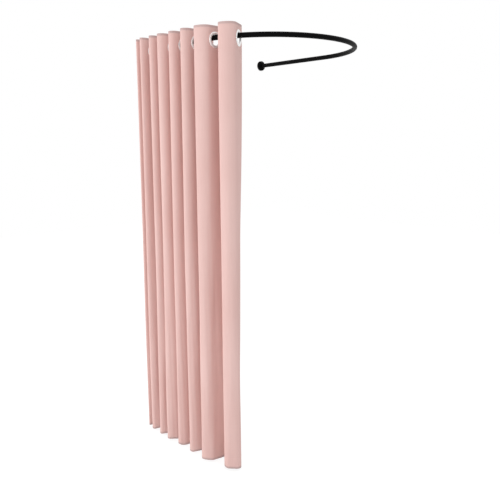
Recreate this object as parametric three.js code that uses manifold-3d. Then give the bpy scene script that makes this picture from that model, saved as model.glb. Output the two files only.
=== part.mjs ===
// Fitting room for a shop wall: a U-shaped rail on two round wall plates, with an
// eyelet curtain parked along its left arm.
// Units are millimetres, +Z is up and the wall is the plane Y = 0.
// The origin is the middle of the right-hand wall plate's back face, on the rail's axis.
// The room side of the wall is -Y, and the left arm lies at negative X.

import * as THREE from 'three';
import { mergeVertices } from 'three/addons/utils/BufferGeometryUtils.js';
import Module from 'manifold-3d';

const wasm = await Module();
wasm.setup();

// Clearances
const seatGap = 0.3;
const cutOverrun = 2;
const holeCutLength = 18;
const mergeDistance = 1e-4;

// Rail: two straight arms and a half-circle bend with short straight ends
const bendRadius = 410;
const armLength = 480;
const bendStub = 60;
const tubeRadius = 11;
const tubeWall = 1.5;

// Wall plates, with the spigots that the tubes slide over
const plateRadius = 25;
const plateThickness = 4;
const plateChamfer = 0.8;
const spigotLength = 34;
const wallHoleRadius = 2.4;
const wallHoleSinkRadius = 4.6;
const wallHolePlace = 17.2;

// Domed covers over the wall plates
const coverWall = 1.6;
const coverDepth = 17;
const coverRimHeight = 10;
const coverLipHeight = 1.2;

// Joining sleeves inside the tubes
const sleeveLength = 80;
const sleeveWall = 2;

// Grub screws, driven up from under the tube
const grubRadius = 2;
const grubClearance = 0.3;
const grubChamfer = 0.5;
const grubSocketRadius = 1.1;
const grubSocketDepth = 1.8;
const grubRecess = 0.2;
const grubBite = 3.4;
const plateGrubPlace = 24;
const sleeveGrubPlace = 22;

// Curtain
const curtainHeight = 2000;
const curtainAboveRail = 48;
const clothThickness = 2;
const clothBetweenEyelets = 156;
const flatLength = 72;
const foldDepthLeastShare = 0.5;
const foldDepthLimitShare = 3;
const handleShare = 4 / 3;
const lapDepth = 8;
const lapShare = 0.7;
const hemLength = 40;
const hemCurl = 20;

// Eyelets: a front ring with a barrel, and a back ring clipped over the barrel
const eyeletBore = 22;
const eyeletRadius = 34;
const barrelWall = 1.7;
const ringThickness = 3.6;
const ringEdge = 1.4;
const barrelReach = 1.5;
const eyeletSeat = 0.6;

// The parked curtain: its length on the rail and each eyelet's place in it
const parkedLength = 652;
const wallEndClear = 30;
const eyeletPlaceShares = [
  0.011, 0.109, 0.185, 0.291, 0.3614, 0.447, 0.507, 0.592,
  0.6343, 0.7195, 0.757, 0.828, 0.878, 0.9355, 0.9695, 1,
];

// Degrees by which the cloth at each eyelet is off square to the rail. Its outer end
// leans towards the wall, or towards the leading edge where the number is negative.
const eyeletLeans = [-2, 6, 12, 6, 0, -8, -3, -11, -3, -10, -4, -10, -2, -9, 1, -7];

// Facet counts
const tubeHalfSides = 9;
const bendSteps = 34;
const roundSides = 24;
const ringSides = 18;
const foldSteps = 8;
const cutterSides = 18;
const socketSides = 6;

// Sizes that follow from the ones above
const boreRadius = tubeRadius - tubeWall;
const spigotRadius = boreRadius - seatGap;
const bendLength = Math.PI * bendRadius;
const railLength = 2 * armLength + bendLength;
const barrelRadius = eyeletBore + barrelWall;
const eyeletDrop = eyeletBore - tubeRadius - eyeletSeat;
const curtainTop = curtainAboveRail;
const curtainBottom = curtainTop - curtainHeight;
const armSide = { right: 0, left: -2 * bendRadius };

// Materials
const blackPaint = new THREE.MeshStandardMaterial({ color: 0x121213, roughness: 0.5, metalness: 0.3 });
const zincSteel = new THREE.MeshStandardMaterial({ color: 0x9a9c9f, roughness: 0.4, metalness: 0.9 });
const blushCloth = new THREE.MeshStandardMaterial({ color: 0xd9a7a2, roughness: 0.9, metalness: 0 });
const silverRing = new THREE.MeshStandardMaterial({ color: 0xdededb, roughness: 0.25, metalness: 0.85 });

const fittingRoom = new THREE.Group();

// A closed geometry as a solid that can be cut
function toSolid(geometry) {
  const bare = geometry.clone();
  bare.deleteAttribute('normal');
  bare.deleteAttribute('uv');
  const merged = mergeVertices(bare, mergeDistance);
  return new wasm.Manifold(new wasm.Mesh({
    numProp: 3,
    vertProperties: new Float32Array(merged.attributes.position.array),
    triVerts: new Uint32Array(merged.index.array),
  }));
}

function toGeometry(solid) {
  const mesh = solid.getMesh();
  const geometry = new THREE.BufferGeometry();
  geometry.setAttribute('position', new THREE.BufferAttribute(mesh.vertProperties, 3));
  geometry.setIndex(new THREE.BufferAttribute(mesh.triVerts, 1));
  return geometry;
}

// The geometry with every cutter taken out of it
function cut(geometry, cutters) {
  let solid = toSolid(geometry);
  for (const cutter of cutters) {
    solid = solid.subtract(toSolid(cutter));
  }
  return toGeometry(solid);
}

function addMesh(parent, name, geometry, material) {
  const mesh = new THREE.Mesh(geometry, material);
  mesh.name = name;
  parent.add(mesh);
  return mesh;
}

// A turned piece: its profile is pairs of radius and height above the base
function turned(profile, sides = roundSides) {
  const points = profile.map(([radius, height]) => new THREE.Vector2(radius, height));
  return new THREE.LatheGeometry(points, sides);
}

// A hollow tube that follows a curve
function tubeAlong(curve, steps, outerRadius, wall) {
  const section = new THREE.Shape();
  section.absarc(0, 0, outerRadius, 0, 2 * Math.PI);
  const bore = new THREE.Path();
  bore.absarc(0, 0, outerRadius - wall, 0, 2 * Math.PI, true);
  section.holes.push(bore);
  return new THREE.ExtrudeGeometry(section, {
    steps, curveSegments: tubeHalfSides, extrudePath: curve, bevelEnabled: false,
  });
}

// A cylinder for cutting a hole under the tube, upright at a place on the rail
function uprightCutter(radius, fromHeight, toHeight, x, y) {
  const cutter = new THREE.CylinderGeometry(radius, radius, toHeight - fromHeight, cutterSides);
  cutter.rotateX(Math.PI / 2);
  cutter.translate(x, y, (fromHeight + toHeight) / 2);
  return cutter;
}

// The rail's plan at a distance from the right-hand wall plate: the point on its axis,
// the direction towards the left-hand plate, and the direction out of the U
function railFrame(distance) {
  const turn = THREE.MathUtils.clamp((distance - armLength) / bendRadius, 0, Math.PI);
  const out = new THREE.Vector2(Math.cos(turn), -Math.sin(turn));
  const along = new THREE.Vector2(-Math.sin(turn), -Math.cos(turn));
  const straight = Math.min(distance - armLength, 0) + Math.max(distance - armLength - bendLength, 0);
  const point = new THREE.Vector2(-bendRadius, -armLength)
    .addScaledVector(out, bendRadius)
    .addScaledVector(along, straight);
  return { point, along, out };
}

// A stretch of the rail's axis, for sweeping a tube along it
class RailStretch extends THREE.Curve {
  constructor(from, to) {
    super();
    this.from = from;
    this.to = to;
  }

  getPoint(share, target = new THREE.Vector3()) {
    const { point } = railFrame(THREE.MathUtils.lerp(this.from, this.to, share));
    return target.set(point.x, point.y, 0);
  }
}

// A grub screw stands in its hole with its hexagon socket facing down
function grubScrew(length) {
  const body = turned([
    [0, 0],
    [grubRadius - grubChamfer, 0],
    [grubRadius, grubChamfer],
    [grubRadius, length - grubChamfer],
    [grubRadius - grubChamfer, length],
    [0, length],
  ], cutterSides);
  body.rotateX(Math.PI / 2);
  const socket = new THREE.CylinderGeometry(
    grubSocketRadius, grubSocketRadius, grubSocketDepth + cutOverrun, socketSides,
  );
  socket.rotateX(Math.PI / 2);
  socket.translate(0, 0, (grubSocketDepth - cutOverrun) / 2);
  return cut(body, [socket]);
}

function placeGrub(name, length, x, y) {
  const screw = addMesh(fittingRoom, name, grubScrew(length), zincSteel);
  screw.position.set(x, y, grubRecess - tubeRadius);
}

const grubHoleRadius = grubRadius + grubClearance;

function grubHole(x, y, depth) {
  const floor = depth - tubeRadius;
  return uprightCutter(grubHoleRadius, -tubeRadius - cutOverrun, floor, x, y);
}

// A round wall plate with a spigot, two countersunk holes and a blind grub-screw hole
function wallPlate() {
  const plate = turned([
    [0, 0],
    [plateRadius, 0],
    [plateRadius, plateThickness - plateChamfer],
    [plateRadius - plateChamfer, plateThickness],
    [spigotRadius, plateThickness],
    [spigotRadius, spigotLength - plateChamfer],
    [spigotRadius - plateChamfer, spigotLength],
    [0, spigotLength],
  ]);
  const sinkDepth = wallHoleSinkRadius - wallHoleRadius;
  const cutters = [-wallHolePlace, wallHolePlace].map((height) => {
    const hole = turned([
      [0, -cutOverrun],
      [wallHoleRadius, -cutOverrun],
      [wallHoleRadius, plateThickness - sinkDepth],
      [wallHoleSinkRadius, plateThickness],
      [wallHoleSinkRadius, plateThickness + cutOverrun],
      [0, plateThickness + cutOverrun],
    ], cutterSides);
    hole.translate(0, 0, height);
    return hole;
  });
  const grubFloor = grubRecess + tubeWall + grubBite + grubClearance;
  const grubCut = uprightCutter(
    grubHoleRadius, -tubeRadius - cutOverrun, grubFloor - tubeRadius, 0, plateGrubPlace,
  );
  return cut(plate, [...cutters, grubCut]);
}

// The cover is a domed cup: it sits over the plate's edge and its lip meets the tube
function plateCover() {
  const inner = plateRadius + seatGap;
  const outer = inner + coverWall;
  const lip = tubeRadius + seatGap;
  const lipEdge = lip + coverWall;
  const dome = new THREE.CubicBezierCurve(
    new THREE.Vector2(outer, coverRimHeight),
    new THREE.Vector2(outer, (coverRimHeight + coverDepth) / 2),
    new THREE.Vector2((outer + lipEdge) / 2, coverDepth - coverLipHeight),
    new THREE.Vector2(lipEdge, coverDepth - coverLipHeight),
  );
  const underside = new THREE.CubicBezierCurve(
    new THREE.Vector2(lip, coverDepth - coverLipHeight - coverWall),
    new THREE.Vector2((inner + lip) / 2, coverDepth - coverLipHeight - coverWall),
    new THREE.Vector2(inner, (coverRimHeight + coverDepth) / 2 - coverWall),
    new THREE.Vector2(inner, coverRimHeight),
  );
  const profile = [
    [inner, 0],
    [outer, 0],
    ...dome.getPoints(foldSteps).map((point) => [point.x, point.y]),
    [lipEdge, coverDepth],
    [lip, coverDepth],
    ...underside.getPoints(foldSteps).map((point) => [point.x, point.y]),
    [inner, 0],
  ];
  return turned(profile);
}

// One end of the rail: the plate, its cover and its grub screw
function addWallEnd(side) {
  const end = new THREE.Group();
  end.position.x = armSide[side];
  end.rotation.z = Math.PI;
  fittingRoom.add(end);
  addMesh(end, `wall_plate_${side}`, wallPlate(), blackPaint);
  addMesh(end, `plate_cover_${side}`, plateCover(), blackPaint);
  placeGrub(`plate_grub_screw_${side}`, tubeWall + grubBite, armSide[side], -plateGrubPlace);
}

// One arm: a straight tube, the sleeve that joins it to the bend and the sleeve's screws
function addArm(side, distanceAt) {
  const x = armSide[side];
  const jointPlace = armLength - bendStub;
  const start = distanceAt(plateThickness + seatGap);
  const end = distanceAt(jointPlace - seatGap);
  const tube = tubeAlong(new RailStretch(start, end), 1, tubeRadius, tubeWall);
  const through = tubeWall + cutOverrun;
  const tubeHoles = [plateGrubPlace, jointPlace - sleeveGrubPlace].map(
    (place) => grubHole(x, -place, through),
  );
  addMesh(fittingRoom, `${side}_arm_tube`, cut(tube, tubeHoles), blackPaint);

  const sleeveCurve = new RailStretch(
    distanceAt(jointPlace - sleeveLength / 2), distanceAt(jointPlace + sleeveLength / 2),
  );
  const sleeve = tubeAlong(sleeveCurve, 1, spigotRadius, sleeveWall);
  const screwPlaces = [jointPlace - sleeveGrubPlace, jointPlace + sleeveGrubPlace];
  const sleeveHoles = screwPlaces.map((place) => grubHole(x, -place, tubeRadius));
  addMesh(fittingRoom, `${side}_joining_sleeve`, cut(sleeve, sleeveHoles), zincSteel);
  const screwLength = tubeWall + seatGap + sleeveWall - grubRecess;
  placeGrub(`${side}_sleeve_grub_screw_arm`, screwLength, x, -screwPlaces[0]);
  placeGrub(`${side}_sleeve_grub_screw_bend`, screwLength, x, -screwPlaces[1]);
}

function addBend() {
  const curve = new RailStretch(armLength - bendStub, railLength - armLength + bendStub);
  const tube = tubeAlong(curve, bendSteps, tubeRadius, tubeWall);
  const place = armLength - bendStub + sleeveGrubPlace;
  const holes = Object.values(armSide).map((x) => grubHole(x, -place, tubeWall + cutOverrun));
  addMesh(fittingRoom, 'bend_tube', cut(tube, holes), blackPaint);
}

// The flat stretch of cloth round an eyelet. Counted from the leading edge, the first
// of each pair crosses the rail outwards and the second crosses it back inwards. The
// eyelet's front faces out of the curtain, to the side of the folds' outer ends.
function flatStretch(index) {
  const toWallEnd = (1 - eyeletPlaceShares[index]) * parkedLength;
  const { point, along, out } = railFrame(railLength - wallEndClear - toWallEnd);
  const way = index % 2 === 0 ? 1 : -1;
  const lean = THREE.MathUtils.degToRad(eyeletLeans[index]);
  const direction = out.clone().multiplyScalar(way * Math.cos(lean));
  direction.addScaledVector(along, way * Math.sin(lean));
  const face = new THREE.Vector2(-direction.y, direction.x);
  const start = point.clone().addScaledVector(direction, -flatLength / 2);
  const end = point.clone().addScaledVector(direction, flatLength / 2);
  return { point, direction, face, start, end };
}

// The cloth that turns back from one flat stretch to the next. It is as deep as its
// spare length allows, so close folds stand further out than wide ones.
function turnBetween(from, to, extraDepth = 0) {
  const halfWidth = from.end.distanceTo(to.start) / 2;
  const spareRadius = (clothBetweenEyelets - flatLength) / Math.PI;
  const roundDepth = Math.sqrt(Math.max(2 * spareRadius ** 2 - halfWidth ** 2, 0));
  const leastDepth = halfWidth * foldDepthLeastShare;
  const depth = Math.min(Math.max(roundDepth, leastDepth), foldDepthLimitShare * halfWidth);
  const handle = (depth + extraDepth) * handleShare;
  return new THREE.CubicBezierCurve(
    from.end,
    from.end.clone().addScaledVector(from.direction, handle),
    to.start.clone().addScaledVector(to.direction, -handle),
    to.start,
  );
}

// A curtain edge runs on past its eyelet and curls a little towards the next one
function hemCurve(end, direction, eyelet, nextEyelet) {
  const curl = nextEyelet.clone().sub(eyelet).setLength(hemCurl);
  const tip = end.clone().addScaledVector(direction, hemLength).add(curl);
  return new THREE.QuadraticBezierCurve(
    end, end.clone().addScaledVector(direction, hemLength / 2), tip,
  );
}

// Points along a turn, from one share of it to another
function turnPoints(turn, fromShare, toShare) {
  const steps = foldSteps / 2;
  return Array.from({ length: steps + 1 }, (unused, step) => (
    turn.getPoint(THREE.MathUtils.lerp(fromShare, toShare, step / steps))
  ));
}

const flats = eyeletPlaceShares.map((share, index) => flatStretch(index));
const foldCount = flats.length / 2;

function leadingHem(first, second) {
  const inwards = first.direction.clone().negate();
  const curve = hemCurve(first.start, inwards, first.point, second.point);
  return curve.getPoints(foldSteps / 2).reverse();
}

function trailingHem(first, second) {
  return hemCurve(second.end, second.direction, second.point, first.point).getPoints(foldSteps / 2);
}

// The middle line of one fold's cloth, from the valley on its leading side to the one
// on its wall side. Neighbouring folds lap at the valleys, so that one slides past the other.
function foldLine(fold) {
  const first = flats[2 * fold];
  const second = flats[2 * fold + 1];
  const ridge = turnBetween(first, second).getPoints(foldSteps);
  const leading = fold === 0
    ? leadingHem(first, second)
    : turnPoints(turnBetween(flats[2 * fold - 1], first), lapShare, 1);
  const trailing = fold === foldCount - 1
    ? trailingHem(first, second)
    : turnPoints(turnBetween(second, flats[2 * fold + 2], lapDepth), 0, lapShare);
  return [...leading, ...ridge, ...trailing];
}

// The line thickened to both sides
function stripOutline(line, thickness) {
  const sides = [[], []];
  line.forEach((point, index) => {
    const before = line[Math.max(index - 1, 0)];
    const after = line[Math.min(index + 1, line.length - 1)];
    const along = after.clone().sub(before).normalize();
    const across = new THREE.Vector2(-along.y, along.x);
    sides[0].push(point.clone().addScaledVector(across, thickness / 2));
    sides[1].push(point.clone().addScaledVector(across, -thickness / 2));
  });
  return new THREE.Shape([...sides[0], ...sides[1].reverse()]);
}

// The hole for an eyelet's barrel, square to the cloth's flat stretch
function eyeletHole(flat) {
  const radius = barrelRadius + seatGap;
  const hole = new THREE.CylinderGeometry(radius, radius, holeCutLength, ringSides);
  hole.rotateZ(Math.atan2(flat.face.y, flat.face.x) - Math.PI / 2);
  hole.translate(flat.point.x, flat.point.y, -eyeletDrop);
  return hole;
}

function foldCloth(fold) {
  const outline = stripOutline(foldLine(fold), clothThickness);
  const cloth = new THREE.ExtrudeGeometry(outline, { depth: curtainHeight, bevelEnabled: false });
  cloth.translate(0, 0, curtainBottom);
  return cut(cloth, [flats[2 * fold], flats[2 * fold + 1]].map(eyeletHole));
}

// Half of an eyelet, turned about its own axis; heights count from the cloth's middle
const clothFace = clothThickness / 2 + seatGap;

function frontRing() {
  return turned([
    [eyeletBore, -clothFace - barrelReach],
    [barrelRadius, -clothFace - barrelReach],
    [barrelRadius, clothFace],
    [eyeletRadius, clothFace],
    [eyeletRadius - ringEdge, clothFace + ringThickness - ringEdge],
    [(eyeletRadius + eyeletBore) / 2, clothFace + ringThickness],
    [eyeletBore, clothFace + ringThickness - ringEdge],
    [eyeletBore, -clothFace - barrelReach],
  ], ringSides);
}

function backRing() {
  return turned([
    [barrelRadius + seatGap, -clothFace],
    [barrelRadius + seatGap, -clothFace - ringThickness + ringEdge],
    [(eyeletRadius + barrelRadius) / 2, -clothFace - ringThickness],
    [eyeletRadius, -clothFace - ringEdge],
    [eyeletRadius, -clothFace],
    [barrelRadius + seatGap, -clothFace],
  ], ringSides);
}

function addEyelet(flat, number) {
  const eyelet = new THREE.Group();
  eyelet.position.set(flat.point.x, flat.point.y, -eyeletDrop);
  eyelet.rotation.z = Math.atan2(flat.face.y, flat.face.x) - Math.PI / 2;
  fittingRoom.add(eyelet);
  addMesh(eyelet, `eyelet_front_ring_${number}`, frontRing(), silverRing);
  addMesh(eyelet, `eyelet_back_ring_${number}`, backRing(), silverRing);
}

addWallEnd('right');
addWallEnd('left');
addArm('right', (place) => place);
addArm('left', (place) => railLength - place);
addBend();
for (let fold = 0; fold < foldCount; fold += 1) {
  addMesh(fittingRoom, `curtain_fold_${fold + 1}`, foldCloth(fold), blushCloth);
}
flats.forEach((flat, index) => addEyelet(flat, index + 1));

export default fittingRoom;
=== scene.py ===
# %% [markdown]
# # A fitting room on a wall: a U-shaped rail and one eyelet curtain
#
# The real thing is simple: a round steel tube bent to a U, held by two round wall
# plates, and a heavy curtain that hangs from it by sixteen metal eyelets. The packed
# model gives every size and place. This lesson dresses it: smooth tubes, polished
# eyelets, and above all a curtain that hangs in soft folds, with its hems and stitches.

import math
from dataclasses import dataclass, replace
from itertools import accumulate

import bmesh
import bpy
import numpy as np
from mathutils import Matrix, Quaternion, Vector


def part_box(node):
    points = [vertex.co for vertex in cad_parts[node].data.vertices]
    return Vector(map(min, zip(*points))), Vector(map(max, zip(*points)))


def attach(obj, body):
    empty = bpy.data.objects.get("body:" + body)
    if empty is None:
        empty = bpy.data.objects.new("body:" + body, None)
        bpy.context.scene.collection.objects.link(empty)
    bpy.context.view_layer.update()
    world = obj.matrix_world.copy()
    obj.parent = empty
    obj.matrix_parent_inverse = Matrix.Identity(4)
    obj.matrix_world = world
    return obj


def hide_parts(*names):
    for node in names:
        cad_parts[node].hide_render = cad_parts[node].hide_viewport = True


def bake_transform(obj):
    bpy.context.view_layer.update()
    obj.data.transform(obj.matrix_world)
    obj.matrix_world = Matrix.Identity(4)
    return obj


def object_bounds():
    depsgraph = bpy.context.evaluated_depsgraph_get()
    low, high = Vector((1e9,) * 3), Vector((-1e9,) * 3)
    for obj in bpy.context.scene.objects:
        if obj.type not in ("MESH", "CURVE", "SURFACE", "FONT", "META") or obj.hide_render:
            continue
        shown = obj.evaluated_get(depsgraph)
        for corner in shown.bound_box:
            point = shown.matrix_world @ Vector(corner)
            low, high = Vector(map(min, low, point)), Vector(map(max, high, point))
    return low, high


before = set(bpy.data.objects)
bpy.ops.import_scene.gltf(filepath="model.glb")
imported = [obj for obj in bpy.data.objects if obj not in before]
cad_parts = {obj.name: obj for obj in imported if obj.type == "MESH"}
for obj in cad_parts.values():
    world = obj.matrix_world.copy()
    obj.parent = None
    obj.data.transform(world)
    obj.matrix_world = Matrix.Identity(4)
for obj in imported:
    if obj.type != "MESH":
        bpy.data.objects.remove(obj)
cad_box = [list(corner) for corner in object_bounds()]
print("CAD box:", cad_box)

# %% [markdown]
# ## The camera
#
# The camera's place was solved from the picture: the rail's ellipse, the far wall end
# and the corners of the folds fix it to a few millimetres. It stands outside the left
# arm, well below the rail, and looks a little down. A tiny roll levels nothing on the
# object; it only follows how the picture was taken.

# %% Camera
MM = 0.001
PICTURE_WIDTH_PX = 500
FOCAL_LENGTH_PX = 587.2
SENSOR_WIDTH_MM = 36.0
CAMERA_PLACE = Vector((-2498.8, -2582.1, -438.0)) * MM
CAMERA_HEADING = math.radians(43.032)
CAMERA_PITCH = math.radians(10.433)
CAMERA_ROLL = math.radians(-0.161)


def add_camera():
    lens = bpy.data.cameras.new("shop_camera")
    lens.sensor_width = SENSOR_WIDTH_MM
    lens.lens = SENSOR_WIDTH_MM * FOCAL_LENGTH_PX / PICTURE_WIDTH_PX
    camera = bpy.data.objects.new("shop_camera", lens)
    bpy.context.scene.collection.objects.link(camera)
    level = math.cos(CAMERA_PITCH)
    look = Vector((
        math.sin(CAMERA_HEADING) * level,
        math.cos(CAMERA_HEADING) * level,
        -math.sin(CAMERA_PITCH),
    ))
    camera.rotation_mode = "QUATERNION"
    camera.location = CAMERA_PLACE
    roll = Quaternion((0, 0, 1), CAMERA_ROLL)
    camera.rotation_quaternion = look.to_track_quat("-Z", "Y") @ roll
    bpy.context.scene.camera = camera
    print("camera lens:", round(lens.lens, 2), "mm")


add_camera()

# %% [markdown]
# ## Wires: shader maths as plain expressions
#
# Node trees are easier to read as formulas. A Wire holds one socket. Arithmetic on a
# Wire adds Math nodes, so `1 - mask` works, and its method make adds any other node:
# first its settings, then the values or wires of its inputs. The same class serves
# shader trees and Geometry Nodes trees.


# %% The Wire class
def operator(operation, swapped=False):
    """A method for one arithmetic sign. Swapped, it serves `number - wire`."""
    def method(self, other):
        return self.maths(operation, *((other, self) if swapped else (self, other)))
    return method


class Wire:
    """One output socket. Sums on it add Math nodes, and make() adds any other node."""

    __add__, __radd__ = operator("ADD"), operator("ADD", swapped=True)
    __sub__, __rsub__ = operator("SUBTRACT"), operator("SUBTRACT", swapped=True)
    __mul__, __rmul__ = operator("MULTIPLY"), operator("MULTIPLY", swapped=True)
    __truediv__ = operator("DIVIDE")

    def __init__(self, socket):
        self.socket = socket

    def make(self, kind, inputs=None, output=0, **settings):
        tree = self.socket.id_data
        node = tree.nodes.new(kind)
        for name, value in settings.items():
            setattr(node, name, value)
        for key, value in (inputs or {}).items():
            if isinstance(value, Wire):
                tree.links.new(value.socket, node.inputs[key])
            else:
                node.inputs[key].default_value = value
        return Wire(node.outputs[output])

    def beside(self, output):
        """Another output of the same node."""
        return Wire(self.socket.node.outputs[output])

    def maths(self, operation, *values):
        return self.make("ShaderNodeMath", dict(enumerate(values)), operation=operation)

    def between(self, low, high):
        """0 below low, 1 above high and a smooth step from one to the other."""
        values = {"Value": self, "From Min": low, "From Max": high}
        return self.make("ShaderNodeMapRange", values, interpolation_type="SMOOTHSTEP")


# %% [markdown]
# ## Light, floor and backdrop
#
# A plain product picture: white all round, a large soft lamp on the left, and a little
# from the front. The world lights the part at a level where a colour looks about as it
# is written. The camera, and whatever mirrors the room, sees clean white instead. The
# floor does the same for the camera, but keeps a share of its own shading, so the
# curtain still drops a soft shadow on it.

# %% Light, floor and backdrop
WHITE = (1.0, 1.0, 1.0, 1.0)
ROOM_LEVEL = 0.82
FLOOR_KEEPS_SHADE = 0.3
FLOOR_GLOW = 1.22
FLOOR_SIZE = 14.0
FLOOR_GAP = 14 * MM
FLOOR_COLOUR = (0.86, 0.86, 0.86, 1.0)
KEY_PLACE = Vector((-3.8, 1.8, -1.0))
KEY_SIZE = (1.8, 3.0)
KEY_POWER = 47
FRONT_PLACE = Vector((-4.2, -1.4, -0.8))
FRONT_SIZE = (1.5, 3.0)
FRONT_POWER = 20
LAMP_AIM = Vector((-0.8, -0.4, -0.95))


def seen_directly(wire):
    """1 for rays from the camera, a mirror or glass, and 0 for light on its way."""
    path = wire.make("ShaderNodeLightPath", output="Is Camera Ray")
    glossy, through = path.beside("Is Glossy Ray"), path.beside("Is Transmission Ray")
    return path.maths("MAXIMUM", path, path.maths("MAXIMUM", glossy, through))


def white_where_seen(tree, output, lit, white, share=1.0):
    """Ends a tree in its lit shader, mixed with a white one for what sees it directly."""
    tree.nodes.clear()
    (kind, values), (white_kind, white_values) = lit, white
    base = Wire(tree.nodes.new(kind).outputs[0])
    for name, value in values.items():
        base.socket.node.inputs[name].default_value = value
    shown = base.make(white_kind, white_values)
    factor = seen_directly(base) * share
    mixed = base.make("ShaderNodeMixShader", {0: factor, 1: base, 2: shown})
    tree.links.new(mixed.socket, tree.nodes.new(output).inputs["Surface"])


def light_room():
    world = bpy.data.worlds.new("plain_room")
    world.use_nodes = True
    white_where_seen(
        world.node_tree,
        "ShaderNodeOutputWorld",
        ("ShaderNodeBackground", {"Color": WHITE, "Strength": ROOM_LEVEL}),
        ("ShaderNodeBackground", {"Color": WHITE, "Strength": 1.0}),
    )
    bpy.context.scene.world = world
    bpy.context.scene.view_settings.view_transform = "Standard"


def add_lamp(name, place, size, power):
    data = bpy.data.lights.new(name, "AREA")
    data.shape, data.energy = "RECTANGLE", power
    data.size, data.size_y = size
    lamp = bpy.data.objects.new(name, data)
    lamp.location = place
    lamp.rotation_mode = "QUATERNION"
    lamp.rotation_quaternion = (LAMP_AIM - place).to_track_quat("-Z", "Y")
    bpy.context.scene.collection.objects.link(lamp)


def add_floor():
    height = cad_box[0][2] - FLOOR_GAP
    half = FLOOR_SIZE / 2
    mesh = bpy.data.meshes.new("floor")
    square = ((-half, -half), (half, -half), (half, half), (-half, half))
    mesh.from_pydata([(x, y, height) for x, y in square], [], [(0, 1, 2, 3)])
    material = bpy.data.materials.new("white_floor")
    material.use_nodes = True
    white_where_seen(
        material.node_tree,
        "ShaderNodeOutputMaterial",
        ("ShaderNodeBsdfDiffuse", {"Color": FLOOR_COLOUR}),
        ("ShaderNodeEmission", {"Color": WHITE, "Strength": FLOOR_GLOW}),
        1 - FLOOR_KEEPS_SHADE,
    )
    mesh.materials.append(material)
    floor = bpy.data.objects.new("floor", mesh)
    bpy.context.scene.collection.objects.link(floor)
    print("floor at", round(height, 3), "m")


light_room()
add_lamp("key_lamp", KEY_PLACE, KEY_SIZE, KEY_POWER)
add_lamp("front_lamp", FRONT_PLACE, FRONT_SIZE, FRONT_POWER)
add_floor()

# %% [markdown]
# ## Black powder coat
#
# The tube and the covers are powder coated: a deep black with a fine orange peel and a
# soft gloss. Where the eyelets drag along the top of the tube the coat is scuffed a
# little greyer and smoother, so the scuffs sit on the upper side only.


# %% Black powder coat
COAT_BLACK = (0.003, 0.003, 0.0033, 1.0)
COAT_SCUFFED = (0.014, 0.014, 0.015, 1.0)
SCUFF_FROM, SCUFF_TO = 8.5 * MM, 11 * MM
PEEL_SCALE, SPECK_SCALE = 950.0, 260.0
PEEL_DEPTH = 0.25 * MM


def new_finish(name):
    """A material with one Principled shader. Returns it, its shader and its object coordinates."""
    material = bpy.data.materials.new(name)
    material.use_nodes = True
    shader = material.node_tree.nodes["Principled BSDF"]
    coordinates = material.node_tree.nodes.new("ShaderNodeTexCoord")
    return material, shader, Wire(coordinates.outputs["Object"])


def feed(shader, **values):
    """Links wires to the shader's inputs and sets plain values; `_` stands for a space."""
    for name, value in values.items():
        socket = shader.inputs[name.replace("_", " ")]
        if isinstance(value, Wire):
            shader.id_data.links.new(value.socket, socket)
        else:
            socket.default_value = value


def noise(place, scale, detail=2.0):
    return place.make("ShaderNodeTexNoise", {"Vector": place, "Scale": scale, "Detail": detail})


def stretched(place, scales):
    return place.make("ShaderNodeMapping", {"Vector": place, "Scale": scales})


def colour_mix(share, first, second):
    """A colour between two, by a share."""
    values = {"Factor": share, 6: first, 7: second}
    return share.make("ShaderNodeMix", values, 2, data_type="RGBA")


def bump(height, strength, depth):
    values = {"Height": height, "Strength": strength, "Distance": depth}
    return height.make("ShaderNodeBump", values)


def black_powder_coat():
    material, shader, place = new_finish("black_powder_coat")
    peel = noise(place, PEEL_SCALE)
    specks = noise(place, SPECK_SCALE, 4.0)
    height = place.make("ShaderNodeSeparateXYZ", {0: place}, "Z")
    streaks = noise(stretched(place, (60.0, 60.0, 400.0)), 1.0, 3.0)
    scuff = height.between(SCUFF_FROM, SCUFF_TO) * streaks.between(0.5, 0.72) * 0.55
    greyed = scuff + specks.between(0.58, 0.8) * 0.12
    feed(
        shader,
        Base_Color=colour_mix(greyed, COAT_BLACK, COAT_SCUFFED),
        Roughness=0.42 + specks * 0.12 - scuff * 0.12,
        Normal=bump(peel, 0.22, PEEL_DEPTH),
        Specular_IOR_Level=0.04,
    )
    return material


# %% [markdown]
# ## Bright metal: eyelets, sleeves and screws
#
# The eyelets are bright nickel on brass, almost white in a white room. Handling leaves
# faint smears, and the bore that rides on the tube is brushed by it. Hidden sleeves and
# grub screws are plain zinc, duller and bluer.


# %% Bright metal
NICKEL_PALE = (0.985, 0.985, 0.98, 1.0)
NICKEL_WARM = (0.94, 0.935, 0.925, 1.0)
ZINC_DARK = (0.50, 0.52, 0.54, 1.0)
ZINC_LIGHT = (0.66, 0.67, 0.68, 1.0)


def bright_nickel():
    material, shader, place = new_finish("bright_nickel")
    smears = noise(stretched(place, (70.0, 70.0, 25.0)), 1.0, 3.0)
    brushing = noise(stretched(place, (300.0, 300.0, 2400.0)), 1.0)
    feed(
        shader,
        Base_Color=colour_mix(smears.between(0.45, 0.75), NICKEL_PALE, NICKEL_WARM),
        Roughness=0.18 + smears * 0.08,
        Normal=bump(brushing, 0.08, 0.1 * MM),
        Metallic=0.5,
    )
    return material


def dull_zinc():
    material, shader, place = new_finish("dull_zinc")
    grain = noise(place, 420.0, 4.0)
    clouds = noise(place, 60.0, 3.0)
    feed(
        shader,
        Base_Color=colour_mix(clouds, ZINC_DARK, ZINC_LIGHT),
        Roughness=0.34 + grain * 0.2,
        Normal=bump(grain, 0.15, 0.2 * MM),
        Metallic=1.0,
    )
    return material


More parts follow.
